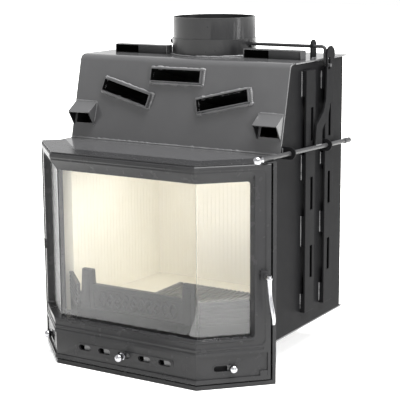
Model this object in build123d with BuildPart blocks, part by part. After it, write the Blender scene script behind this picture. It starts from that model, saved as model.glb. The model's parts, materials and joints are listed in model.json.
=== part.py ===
"""Fireplace insert: welded steel body, cast-iron prismatic front and a glazed door.

Millimetres, +Z up. The origin is on the floor, under the axis of the flue collar. The front
faces -Y and is folded in plan: a centre panel and two side panels, turned back by fold_angle.
A place on a panel is (s, n): s runs along it from the fold, n stands out from its face plane.
"""
from build123d import *
import os
from math import atan2, cos, hypot, radians, sin, tan

os.makedirs("parts", exist_ok=True)

# ---- overall sizes
fold_half = 191.0           # half the width of the centre panel
fold_angle = 45.0           # turn of the side panels
side_panel = 181.5          # width of a side panel
frame_height = 500.0        # height of the cast front
body_half = fold_half + 96.0    # half the width of the steel body
body_bottom = 75.0          # underside of the base plate
hood_top = frame_height + 198.0     # upper face of the hood
corner_y = -275.0           # plane of the two side corners of the front
hood_foot_y = corner_y + 75.0
hood_bend_y = corner_y + 123.0
rear_y = 115.0              # outer face of the rear wall
rear_flange = 13.0          # how far base and hood stand out behind the rear wall
sheet = 4.0                 # steel sheet of the body
gap = 0.3                   # seat between pieces that only rest on each other
play = 0.06                 # radial clearance of a running fit
slip = 0.05                 # radial clearance of pieces fixed on a round bar

# ---- flue collar and damper
collar_radius = 101.0
collar_wall = 6.0
collar_height = 90.0
spigot_step = 2.0           # the upper part is rolled in for the flue pipe
spigot_length = 50.0
boss_radius = 9.0           # bosses round the damper shaft
boss_proud = 6.0
shaft_height = hood_top + 27.0
shaft_radius = 4.0
shaft_left = -collar_radius - 23.0
crank_arm = 42.0
crank_x = body_half + 9.5
crank_bend = 8.0
blade_thick = 3.0
blade_gap = 4.0
blade_tilt = 38.0
post_x = body_half - 21.0
post_width = 25.0
post_thick = 4.0
post_over = 3.0             # how far the post's round head is centred above the shaft

# ---- push rod
rod_radius = 5.0
channel_proud = 12.0        # how far the slotted channels stand out from the side walls
rod_clear = 1.0             # room between the channels and the rod
rod_x = body_half + channel_proud + rod_clear + rod_radius
crank_end = rod_x + 7.0     # the crank's tail stands out past the arm
rod_front = (corner_y - 61.0, frame_height + 9.5)
rod_rear = (rear_y + 3.0, frame_height - 6.0)
guide_ys = (corner_y + 88.0, corner_y + 271.0)
guide_radius = 14.0
guide_thick = 4.0
arm_thick = 4.0
sleeve_length = 29.0
sleeve_radius = 6.5

# ---- heat-exchange tubes: places on the hood as (x, height up the slope, turn)
tube_mouth = (133.0, 27.2)
tube_wall = 3.0
tube_proud = 12.0
tube_places = {
    "centre": (-3.0, 161.8, 0.0),
    "right": (129.0, 111.0, 13.5),
    "left": (-137.0, 116.0, -14.0),
}

# ---- cast front
rim = 8.0                   # width of the frame's rim beside the door
rim_low = 10.0
rim_top = 2.5
seal_face = -20.0           # n of the face that the door closes on
frame_plate = 12.0
top_flange = 57.0           # depth of the frame's top flange, from the face plane
fire_low, fire_high = body_bottom + 25.0, frame_height - 20.0   # opening into the firebox
fire_reach = side_panel - 48.5
air_high = body_bottom - 5.0    # top of the opening in front of the ash drawer
air_half = 118.0

# ---- door
door_low, door_high = 13.0, frame_height - 3.0
door_edge = 0.5             # gap between the door's edge and the rim
door_open_edge = side_panel - 13.5      # s of the door's edge on the handle's side
edge_notch = (side_panel - 18.5, 163.0, 188.0)      # notch in that edge: its s, low and high
door_back = -16.0
face = 2.0                  # n of the door's flat face
bead = 2.0                  # how far its mouldings stand out
glass_low, glass_high = 112.0, frame_height - 42.5
glass_reach = side_panel - 56.0
glass_front = -13.0
glass_thick = 4.0
glass_overlap = 8.0
glass_side_overlap = 5.0
glass_slack = 0.5           # room round the edge of the panes
slope_top, slope_low, slope_side = 24.0, 0.5, 7.0
glass_corner, slope_corner = 5.5, 11.0      # corner radius of the window at the glass and at the face
glass_bead = (7.0, 5.0)     # moulding under the glass: how far it and its crest reach down
edge_slope = 2.0            # slope at the door's outer edge
# raised border: low, high, reach and corner radius at the face
step_foot = (96.0, frame_height - 15.0, side_panel - 27.0, 12.0)
step_slope = 3.0            # width of the step up to the border
border_groove = (83.5, 86.0, 88.5, 91.0)    # heights of the groove in the border over the apron
border_groove_n, border_groove_reach = 2.4, side_panel - 29.5
apron_low, apron_high = 24.0, 77.0
apron_reach = side_panel - 20.0
apron_skin = 5.0
apron_wall = (6.0, 7.0, 3.0)    # wall left beside, below and above the hollow behind the apron
slot_rim = (15.0, 8.0, 6.0, 1.2)    # raised rim round the air slots: longer and wider than the row of
                                    # slots, larger than a side slot, and its height
apron_lug = (side_panel - 29.0, 28.0, 17.0, 16.0)   # lug in the apron's corner: s, z, width, height
hinge_s, hinge_n = side_panel - 15.5, -4.0
hinge_pin_radius = 4.0
knuckle = 7.0
lug_slack = 2.0             # room beside the frame's lugs, and past the pins' ends
open_relief = 0.7           # how far the face beside the hinge lies behind the knuckle's round
lug_low_top = 20.0
lug_high_low = frame_height - 14.0
pin_grip = 10.0             # how deep a pin sits in the frame
pin_reach = 16.0            # how deep it reaches into the door
rope = 6.0
rope_depth = 5.0
rope_s = side_panel - 44.25
rope_low, rope_high = 88.5, frame_height - 12.5

# ---- handle
handle_s, handle_z = side_panel - 28.5, 253.0
handle_shaft_radius = 4.5
boss_size = (17.0, 21.0)
boss_shift = -2.0
boss_out, blank_out = 12.0, 3.0     # how far the boss and the blank one on the hinge side stand out
tongue = (9.0, 15.0, 4.0)   # width, reach from the axis, thickness
keeper_lip = 2.5
latch_room = 9.0
latch_window = (19.0, 24.0)     # pocket for the tongue, open towards the door
latch_under = 11.0              # how much wider it is behind the lip
latch_corner = (12.0, 7.0)      # from the handle's axis to the pocket's lower corner

# ---- air sliders
slot_z = 50.0
centre_slot = (33.0, 13.0)
slot_pitch = 54.7
slot_count = 5
side_slot = (52.0, 14.0)
side_slot_s = 65.0
side_slot_z = 46.7
side_knob_s = 82.0
side_knob_out = 10.0
slider_height = 30.0
slider_thick = 2.5
knob_radius = 9.5
knob_out = 21.0
stem_radius = 4.0
neck_length, neck_extra = 3.0, 2.5      # neck between a knob's ball and its disc
disc_thick, disc_less = 3.0, 1.5

# ---- firebox
lining_thick = 28.5
floor_top = body_bottom + 30.0
lining_front_y = corner_y + 25.0
lining_top = frame_height - 30.0
lining_front_x = body_half - 36.2
lining_rear_x = body_half - 68.0
lining_play = 2.0           # room beside the back lining
groove_wide, groove_deep, groove_pitch = 2.4, 0.6, 12.0
grate_half = 120.0
grate_rear_y = corner_y + 300.0
sill_edge = -53.0
sill_high = floor_top + 23.0
ash_half = air_half + 7.0
ash_rear_y = 65.0
ash_sheet = 3.0

far = 450.0                 # longer than anything that a cut has to pass
over = 10.0                 # how far a cut reaches out of the face that it opens

# ---- the folded front in plan
ca, sa = cos(radians(fold_angle)), sin(radians(fold_angle))
front_y = corner_y - side_panel * sa
mitre = tan(radians(fold_angle / 2))
frame_back = seal_face - frame_plate
door_reach = side_panel - rim - door_edge
side_plane = Plane(origin=(fold_half, front_y, 0), x_dir=(ca, sa, 0), z_dir=(sa, -ca, 0))
centre_plane = Plane(origin=(0, front_y, 0), x_dir=(1, 0, 0), z_dir=(0, -1, 0))
section_plane = Plane(origin=(fold_half, front_y, 0), x_dir=(sa, -ca, 0), z_dir=(-ca, -sa, 0))


def side_point(s, n):
    """Plan point on the right-hand side panel."""
    return (fold_half + s * ca + n * sa, front_y + s * sa - n * ca)


def left_point(s, n):
    """Plan point on the left-hand side panel."""
    x, y = side_point(s, n)
    return (-x, y)


def fold_line(n, reach):
    """Plan points of the folded line that stands n out from the face planes."""
    half = fold_half + n * mitre
    return [left_point(reach, n), (-half, front_y - n), (half, front_y - n), side_point(reach, n)]


def folded(levels, back, reach):
    """Three-panel solid with a flat back, whose front follows levels of (height, n)."""
    with BuildPart() as solid:
        for (low, low_n), (high, high_n) in zip(levels, levels[1:]):
            for height, n in ((low, low_n), (high, high_n)):
                with BuildSketch(Plane.XY.offset(height)):
                    with BuildLine():
                        Polyline(*fold_line(n, reach), *fold_line(back, reach)[::-1], close=True)
                    make_face()
            loft(ruled=True)
    return solid.part


def upright(points, low, high):
    """Vertical prism over a plan outline."""
    with BuildPart() as solid:
        with BuildSketch(Plane.XY.offset(low)):
            with BuildLine():
                Polyline(*points, close=True)
            make_face()
        extrude(amount=high - low)
    return solid.part


def prism(plane, points, amount):
    """Prism over an outline drawn on any plane."""
    with BuildPart() as solid:
        with BuildSketch(plane):
            with BuildLine():
                Polyline(*points, close=True)
            make_face()
        extrude(amount=amount)
    return solid.part


def window(front, back):
    """Folded opening with rounded outer corners, tapering between two (n, low, high, reach, radius)."""
    with BuildPart() as solid:
        for n, low, high, reach, radius in (front, back):
            with BuildSketch(centre_plane.offset(n)):
                with Locations((0, (low + high) / 2)):
                    Rectangle(2 * fold_half + 2 * bead, high - low)
        loft(ruled=True)
        for n, low, high, reach, radius in (front, back):
            with BuildSketch(side_plane.offset(n)):
                with Locations(((reach - 3 * radius) / 2, (low + high) / 2)):
                    RectangleRounded(reach + 3 * radius, high - low, radius)
        loft(ruled=True)
        mirror(about=Plane.YZ)
    return solid.part


def bar(plane, place, radius, start, end):
    """Round bar normal to a plane, between two distances from it."""
    with BuildPart() as solid:
        with BuildSketch(plane.offset(start)):
            with Locations(place):
                Circle(radius)
        extrude(amount=end - start)
    return solid.part


def keep(part, label):
    """Name a finished piece and write it."""
    part.label = label
    export_step(part, f"parts/{label}.step")


def keep_pair(part, label):
    """Write a right-hand piece and its mirror image."""
    other = mirror(part, about=Plane.YZ)
    keep(part, label + "_right")
    keep(other, label + "_left")


# =====================================================================
# steel body
# =====================================================================
wall_x = body_half - sheet
floor_z = body_bottom + sheet
deck_z = frame_height - sheet
roof_z = hood_top - sheet
hood_slope = atan2(hood_bend_y - hood_foot_y, hood_top - frame_height)
hood_skin = sheet / cos(hood_slope)
bend_radius = 18.0
hood_eaves = 4.0            # how far the hood's flat top stands out beside the side walls
outlet_hole = (body_half - 33.0, 61.0, 48.0, 46.0)     # holes under the corner outlets: x, height up the slope, size
body_plane = Plane.YZ.offset(-body_half)
hood_plane = Plane(
    origin=(0, hood_foot_y, frame_height),
    x_dir=(1, 0, 0),
    z_dir=(0, -cos(hood_slope), sin(hood_slope)),
)
outer_foot = (hood_foot_y, frame_height)
inner_foot = (hood_foot_y + hood_skin, frame_height)
inner_bend = (inner_foot[0] + (roof_z - frame_height) * tan(hood_slope), roof_z)
before_frame = [*fold_line(frame_back, 2 * side_panel), (far, -2 * far), (-far, -2 * far)]


def tube_block(place, grow, out):
    """Straight block along a heat-exchange tube, normal to the hood."""
    x, up, turn = place
    with BuildPart() as block:
        with BuildSketch(hood_plane.offset(out)):
            with Locations((x, up)):
                Rectangle(tube_mouth[0] + 2 * grow, tube_mouth[1] + 2 * grow, rotation=turn)
        extrude(amount=-far)
    return block.part


# ---- heat-exchange tubes, open at both ends
for name, place in tube_places.items():
    with BuildPart() as tube:
        add(tube_block(place, tube_wall, tube_proud))
        add(tube_block(place, 0, tube_proud), mode=Mode.SUBTRACT)
        split(bisect_by=Plane.XZ.offset(-rear_y - 2), keep=Keep.TOP)
    keep(tube.part, "heat_tube_" + name)
tube_cuts = [tube_block(place, tube_wall, tube_proud) for place in tube_places.values()]

# ---- hood: sloped front and flat top, one folded sheet
with BuildPart() as hood:
    with BuildSketch(body_plane):
        with BuildLine():
            top_line = FilletPolyline(
                outer_foot, (hood_bend_y, hood_top), (rear_y + rear_flange, hood_top), radius=bend_radius
            )
            low_line = FilletPolyline(
                inner_foot, inner_bend, (rear_y + rear_flange, roof_z), radius=bend_radius - sheet
            )
            Line(outer_foot, inner_foot)
            Line(top_line @ 1, low_line @ 1)
        make_face()
    extrude(amount=2 * body_half)
    with Locations((0, rear_y + rear_flange, hood_top)):
        Box(2 * (body_half + hood_eaves), rear_y + rear_flange - hood_bend_y - bend_radius, sheet,
            align=(Align.CENTER, Align.MAX, Align.MAX))
    with Locations((0, 0, hood_top)):
        Cylinder(collar_radius - collar_wall, 4 * sheet, mode=Mode.SUBTRACT)
    with BuildSketch(hood_plane.offset(over)):
        with Locations((-outlet_hole[0], outlet_hole[1]), outlet_hole[:2]):
            Rectangle(*outlet_hole[2:])
    extrude(amount=-2 * over, mode=Mode.SUBTRACT)
    for cut in tube_cuts:
        add(cut, mode=Mode.SUBTRACT)
keep(hood.part, "hood")

# ---- casing: two side walls and the rear wall
with BuildPart() as casing_shell:
    with BuildSketch(body_plane):
        with BuildLine():
            FilletPolyline(inner_foot, inner_bend, (rear_y, roof_z), radius=bend_radius - sheet)
            Polyline(
                (rear_y, roof_z), (rear_y, floor_z), (corner_y, floor_z), (corner_y, deck_z),
                (inner_foot[0], deck_z), inner_foot,
            )
        make_face()
    extrude(amount=2 * body_half)
    with Locations((0, rear_y - sheet, 0)):
        Box(2 * wall_x, 2 * far, 4 * far, align=(Align.CENTER, Align.MAX, Align.CENTER), mode=Mode.SUBTRACT)
    add(upright(before_frame, -1, far * 2), mode=Mode.SUBTRACT)
    for cut in tube_cuts:
        add(cut, mode=Mode.SUBTRACT)
keep(casing_shell.part, "casing_shell")

# ---- top cover between the cast front and the hood
flange_line = fold_line(-top_flange, side_panel)
cover_corner_y = flange_line[3][1] - (body_half - flange_line[3][0])
cover_points = [(-body_half, cover_corner_y), *flange_line, (body_half, cover_corner_y),
                (body_half, inner_foot[0]), (-body_half, inner_foot[0])]
with BuildPart() as top_cover:
    add(upright(cover_points, deck_z, frame_height))
keep(top_cover.part, "top_cover")

# ---- base plate with the opening over the ash drawer
ash_hole = (112.0, 100.0)
ash_hole_y = grate_rear_y - 75.0
plate_line = fold_line(frame_back, (body_half - fold_half - frame_back * sa) / ca)
with BuildPart() as base_plate:
    add(upright([*plate_line, (body_half, rear_y + rear_flange), (-body_half, rear_y + rear_flange)],
                body_bottom, floor_z))
    with Locations((0, ash_hole_y, body_bottom)):
        Box(*ash_hole, 4 * sheet, mode=Mode.SUBTRACT)
keep(base_plate.part, "base_plate")

# ---- flue collar
collar_top = hood_top + collar_height
boss_end = collar_radius + boss_proud
with BuildPart() as flue_collar:
    with Locations((0, 0, hood_top)):
        Cylinder(collar_radius, collar_height - spigot_length, align=(Align.CENTER, Align.CENTER, Align.MIN))
    with Locations((0, 0, collar_top)):
        Cylinder(collar_radius - spigot_step, spigot_length, align=(Align.CENTER, Align.CENTER, Align.MAX))
    add(bar(Plane.YZ, (0, shaft_height), boss_radius, -boss_end, boss_end))
    with Locations((0, 0, hood_top)):
        Cylinder(collar_radius - collar_wall, 4 * collar_height, mode=Mode.SUBTRACT)
    add(bar(Plane.YZ, (0, shaft_height), shaft_radius + play, -far, far), mode=Mode.SUBTRACT)
keep(flue_collar.part, "flue_collar")

# ---- folded air outlets on the hood
outlet_size = (150.0, 25.0, 21.0)
outlet_front_y = 31.0 - collar_radius
outlet_sheet = 2.0
outlet_mouth = 60.0
outlet_set_back = 8.0       # how far the plate beside the mouth lies behind the front edge
outlet_room = outlet_size[2] - outlet_sheet
outlet_plate = outlet_size[0] - 2 * outlet_sheet - outlet_mouth
for name, left in (("left", -collar_radius - 141.0), ("right", collar_radius + 19.0)):
    with BuildPart() as top_outlet:
        with Locations((left, outlet_front_y, hood_top)):
            Box(*outlet_size, align=Align.MIN)
        with Locations((left + outlet_sheet, outlet_front_y - outlet_sheet, hood_top)):
            Box(outlet_mouth, outlet_size[1], outlet_room, align=Align.MIN, mode=Mode.SUBTRACT)
        with Locations((left + outlet_size[0] - outlet_sheet, outlet_front_y - outlet_sheet, hood_top)):
            Box(outlet_plate, outlet_sheet + outlet_set_back, outlet_room,
                align=(Align.MAX, Align.MIN, Align.MIN), mode=Mode.SUBTRACT)
        with Locations((left + outlet_sheet, outlet_front_y + outlet_set_back + outlet_sheet, hood_top)):
            Box(outlet_size[0] - 2 * outlet_sheet, outlet_size[1] - 2 * outlet_sheet - outlet_set_back,
                outlet_room, align=Align.MIN, mode=Mode.SUBTRACT)
    keep(top_outlet.part, "top_outlet_" + name)

# ---- wedge-shaped air outlets on the hood's corners, open downwards at the front
wedge_x = (body_half - 64.0, body_half - 2.0)
wedge_top, wedge_low, wedge_nose = 90.5, 31.0, (corner_y + 61.0, frame_height + 65.0)
wedge_sheet = 2.5
wedge_behind, wedge_ahead, wedge_below = -20.0, 60.0, 90.0      # reach of the hollow's cut
top_seat = (hood_foot_y + wedge_top * sin(hood_slope), frame_height + wedge_top * cos(hood_slope))
low_seat = (hood_foot_y + wedge_low * sin(hood_slope), frame_height + wedge_low * cos(hood_slope))
roof_run = hypot(wedge_nose[0] - top_seat[0], wedge_nose[1] - top_seat[1])
along = ((wedge_nose[0] - top_seat[0]) / roof_run, (wedge_nose[1] - top_seat[1]) / roof_run)
inward = (-along[1], along[0])


def from_seat(run, deep):
    """Point of the wedge's section, run along its roof and deep below it."""
    return (top_seat[0] + run * along[0] + deep * inward[0], top_seat[1] + run * along[1] + deep * inward[1])


with BuildPart() as corner_outlet:
    add(prism(Plane.YZ.offset(wedge_x[0]), [top_seat, wedge_nose, low_seat], wedge_x[1] - wedge_x[0]))
    hollow = [from_seat(wedge_behind, wedge_sheet), from_seat(wedge_ahead, wedge_sheet),
              from_seat(wedge_ahead, wedge_below), from_seat(wedge_behind, wedge_below)]
    add(prism(Plane.YZ.offset(wedge_x[0] + wedge_sheet), hollow, wedge_x[1] - wedge_x[0] - 2 * wedge_sheet),
        mode=Mode.SUBTRACT)
keep_pair(corner_outlet.part, "corner_outlet")

# ---- slotted channels on the side walls
channel_low, channel_high = body_bottom + 40.0, hood_top - 20.0
channel_sheet = 2.5
channel_slots = (233.0, 394.0, 554.5)
channel_slot = (11.0, 76.0)
flank_slit = 7.0            # width of the slits that the stitch welds leave along the wall
front_slits = ((160.0, 273.0), (344.0, 428.0), (486.0, 619.0))
rear_slits = ((165.0, 288.0), (339.0, 451.0), (480.0, 628.0))
for name, low_y, wide, slot_y, slits in (
    ("front", corner_y + 177.0, 46.0, corner_y + 207.5, front_slits),
    ("rear", corner_y + 275.0, 44.0, corner_y + 298.0, rear_slits),
):
    with BuildPart() as side_channel:
        with Locations((body_half, low_y, channel_low)):
            Box(channel_proud, wide, channel_high - channel_low, align=Align.MIN)
        with Locations((body_half, low_y + channel_sheet, channel_low + channel_sheet)):
            Box(channel_proud - channel_sheet, wide - 2 * channel_sheet,
                channel_high - channel_low - 2 * channel_sheet, align=Align.MIN, mode=Mode.SUBTRACT)
        with Locations([(body_half + channel_proud, slot_y, z) for z in channel_slots]):
            Box(2 * channel_sheet, *channel_slot, mode=Mode.SUBTRACT)
        for slit_low, slit_high in slits:
            with Locations((body_half, low_y, slit_low)):
                Box(flank_slit, 2 * channel_sheet, slit_high - slit_low,
                    align=(Align.MIN, Align.CENTER, Align.MIN), mode=Mode.SUBTRACT)
    keep_pair(side_channel.part, "side_channel_" + name)

# =====================================================================
# damper and push rod
# =====================================================================
shaft_plane = Plane.XZ
with BuildPart() as damper_shaft:
    with BuildLine(shaft_plane) as shaft_line:
        FilletPolyline(
            (shaft_left, shaft_height), (crank_x, shaft_height),
            (crank_x, shaft_height - crank_arm), (crank_end, shaft_height - crank_arm),
            radius=crank_bend,
        )
    with BuildSketch(Plane.YZ.offset(shaft_left)):
        with Locations((0, shaft_height)):
            Circle(shaft_radius)
    sweep(path=shaft_line.line)
keep(damper_shaft.part, "damper_shaft")

nut_across, nut_thick, nut_from_end = 13.0, 6.5, 3.0
with BuildPart() as shaft_nut:
    with BuildSketch(Plane.YZ.offset(shaft_left + nut_from_end)):
        with Locations((0, shaft_height)):
            RegularPolygon(nut_across / 2, 6, major_radius=False)
            Circle(shaft_radius + slip, mode=Mode.SUBTRACT)
    extrude(amount=nut_thick)
keep(shaft_nut.part, "shaft_nut")

blade_plane = Plane(
    origin=(0, 0, shaft_height), x_dir=(1, 0, 0),
    z_dir=(0, sin(radians(blade_tilt)), cos(radians(blade_tilt))),
)
with BuildPart() as damper_blade:
    with BuildSketch(blade_plane.offset(-blade_thick / 2)):
        Circle(collar_radius - collar_wall - blade_gap)
    extrude(amount=blade_thick)
    add(bar(Plane.YZ, (0, shaft_height), shaft_radius + slip, -far, far), mode=Mode.SUBTRACT)
keep(damper_blade.part, "damper_blade")

with BuildPart() as damper_post:
    with BuildSketch(Plane.YZ.offset(post_x - post_thick / 2)):
        with Locations((0, hood_top)):
            Rectangle(post_width, shaft_height + post_over - hood_top, align=(Align.CENTER, Align.MIN))
        with Locations((0, shaft_height + post_over)):
            Circle(post_width / 2)
    extrude(amount=post_thick)
    add(bar(Plane.YZ, (0, shaft_height), shaft_radius + play, -far, far), mode=Mode.SUBTRACT)
keep(damper_post.part, "damper_post")

# ---- push rod, tilted down to the rear
rod_run = hypot(rod_rear[0] - rod_front[0], rod_rear[1] - rod_front[1])
rod_dir = ((rod_rear[0] - rod_front[0]) / rod_run, (rod_rear[1] - rod_front[1]) / rod_run)
rod_plane = Plane(origin=(rod_x, *rod_front), x_dir=(1, 0, 0), z_dir=(0, *rod_dir))


def rod_z(y):
    """Height of the rod's axis over a place along Y."""
    return rod_front[1] + (y - rod_front[0]) * rod_dir[1] / rod_dir[0]


keep(bar(rod_plane, (0, 0), rod_radius, 0, rod_run), "push_rod")
with BuildPart() as rod_sleeve:
    add(bar(rod_plane, (0, 0), sleeve_radius, rod_run - sleeve_length, rod_run))
    add(bar(rod_plane, (0, 0), rod_radius + slip, 0, far * 2), mode=Mode.SUBTRACT)
keep(rod_sleeve.part, "rod_sleeve")


def knob(plane, radius, stem, low):
    """Ball knob on a neck and a collar disc, centred on the plane's origin; its stem goes down to low."""
    disc_top = -radius - neck_length
    with BuildPart() as solid:
        with Locations(plane):
            Sphere(radius)
        add(bar(plane, (0, 0), stem + neck_extra, disc_top, 0))
        add(bar(plane, (0, 0), radius - disc_less, disc_top - disc_thick, disc_top))
        add(bar(plane, (0, 0), stem, low, 0))
    return solid.part


hub_wall, hub_length = 1.0, 2.0
knob_plane = Plane(origin=rod_plane.origin, z_dir=-rod_plane.z_dir)
hub_low = -knob_radius - neck_length - disc_thick - hub_length
with BuildPart() as rod_knob:
    add(knob(knob_plane, knob_radius, rod_radius + hub_wall, hub_low))
    add(bar(rod_plane, (0, 0), rod_radius + slip, 0, far), mode=Mode.SUBTRACT)
keep(rod_knob.part, "rod_knob")

for name, y in zip(("front", "rear"), guide_ys):
    with BuildPart() as rod_guide:
        with BuildSketch(Plane.XZ.offset(-y - guide_thick / 2)):
            with Locations((body_half, rod_z(y))):
                Rectangle(rod_x - body_half, 2 * guide_radius, align=(Align.MIN, Align.CENTER))
            with Locations((rod_x, rod_z(y))):
                Circle(guide_radius)
            with Locations((body_half, rod_z(y))):
                Rectangle(far, far, align=(Align.MAX, Align.CENTER), mode=Mode.SUBTRACT)
        extrude(amount=guide_thick)
        add(bar(rod_plane, (0, 0), rod_radius + play, 0, far * 2), mode=Mode.SUBTRACT)
    keep(rod_guide.part, "rod_guide_" + name)

# ---- upright arm on the rod; its slot takes the crank's end
# outline of the arm: (y, height over the rod) low down, (y, depth under the shaft) high up
arm_front_low = ((-67.0, 0.0), (-61.0, 50.0), (-25.0, 80.0), (-13.0, 108.0))
arm_front_high = ((-10.5, 53.0), (-10.0, 24.0))
arm_head = (13.0, -1.5)
arm_rear_high = ((31.0, 16.0), (17.5, 78.0))
arm_rear_low = ((13.0, 105.0), (1.0, 70.0), (-31.0, 38.0), (-31.0, 0.0))
arm_slot = (12.0, 28.0)
arm_slot_up = 5.0           # how far the slot's middle lies above the crank's end at rest


def over_rod(y, height):
    """Point of the arm's outline, given by its height over the rod."""
    return (y, rod_z(y) + height)


def under_shaft(y, depth):
    """Point of the arm's outline, given by its depth under the damper shaft."""
    return (y, shaft_height - depth)


rear_high = [under_shaft(*point) for point in arm_rear_high]
front_high = [under_shaft(*point) for point in arm_front_high]
low_points = [over_rod(*point) for point in (*arm_rear_low, *arm_front_low)]
with BuildPart() as yoke_arm:
    with BuildSketch(Plane.YZ.offset(rod_x - arm_thick / 2)):
        with BuildLine():
            Polyline(*rear_high, *low_points, *front_high)
            ThreePointArc(front_high[-1], under_shaft(*arm_head), rear_high[0])
        make_face()
        with Locations((0, shaft_height - crank_arm + arm_slot_up)):
            SlotOverall(arm_slot[1], arm_slot[0], rotation=90, mode=Mode.SUBTRACT)
    extrude(amount=arm_thick)
    add(bar(rod_plane, (0, 0), rod_radius + slip, 0, far * 2), mode=Mode.SUBTRACT)
keep(yoke_arm.part, "yoke_arm")

# =====================================================================
# cast front frame
# =====================================================================
pin_x, pin_y = left_point(hinge_s, hinge_n)
pin_plane = Plane.XY
pocket_high = frame_height - rim_top


def plan_box(s_low, s_high, n_low, n_high):
    """Corners of a rectangle in the panel's own directions."""
    return [(s_low, n_low), (s_high, n_low), (s_high, n_high), (s_low, n_high)]


def knuckle_block(low, high):
    """Lug of the frame round a hinge pin."""
    with BuildPart() as lug:
        with Locations((pin_x, pin_y, low)):
            Cylinder(knuckle, high - low, align=(Align.CENTER, Align.CENTER, Align.MIN))
        corners = plan_box(hinge_s - knuckle, hinge_s + knuckle, seal_face, hinge_n)
        add(upright([left_point(s, n) for s, n in corners], low, high))
    return lug.part


with BuildPart() as front_frame:
    add(folded([(0, 0), (frame_height, 0)], frame_back, side_panel))
    add(folded([(deck_z, 0), (frame_height, 0)], -top_flange, side_panel))
    add(folded([(rim_low, over), (pocket_high, over)], seal_face, side_panel - rim), mode=Mode.SUBTRACT)
    add(folded([(fire_low, 0), (fire_high, 0)], frame_back - over, fire_reach), mode=Mode.SUBTRACT)
    with Locations((0, front_y, rim_low)):
        Box(2 * air_half, far / 4, air_high - rim_low, align=(Align.CENTER, Align.CENTER, Align.MIN),
            mode=Mode.SUBTRACT)
    add(knuckle_block(rim_low, lug_low_top))
    add(knuckle_block(lug_high_low, pocket_high))
    for low in (lug_low_top - pin_grip, lug_high_low):
        add(bar(pin_plane, (pin_x, pin_y), hinge_pin_radius + slip, low, low + pin_grip), mode=Mode.SUBTRACT)
    with BuildSketch(side_plane.offset(seal_face)):
        with Locations((handle_s - latch_corner[0], handle_z - latch_corner[1])):
            Rectangle(*latch_window, align=Align.MIN)
    extrude(amount=-latch_room, mode=Mode.SUBTRACT)
    with BuildSketch(side_plane.offset(seal_face - keeper_lip)):
        with Locations((handle_s - latch_corner[0], handle_z - latch_corner[1])):
            Rectangle(latch_window[0] + latch_under, latch_window[1], align=Align.MIN)
    extrude(amount=keeper_lip - latch_room, mode=Mode.SUBTRACT)
keep(front_frame.part, "front_frame")

with BuildPart() as hinge_pins:
    for low, high in ((lug_low_top - pin_grip + gap, lug_low_top + pin_reach),
                      (lug_high_low - pin_reach, lug_high_low + pin_grip - gap)):
        add(bar(pin_plane, (pin_x, pin_y), hinge_pin_radius, low, high))
keep(hinge_pins.part, "hinge_pins")

# =====================================================================
# door
# =====================================================================
slot_xs = [(i - (slot_count - 1) / 2) * slot_pitch for i in range(slot_count)]
taper = face + bead + 1 - glass_front       # the window is cut from 1 in front of the mouldings


def slope(share):
    """Extra size of the window at the front of its taper, for the width at the face."""
    return share * taper / (face - glass_front)


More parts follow.
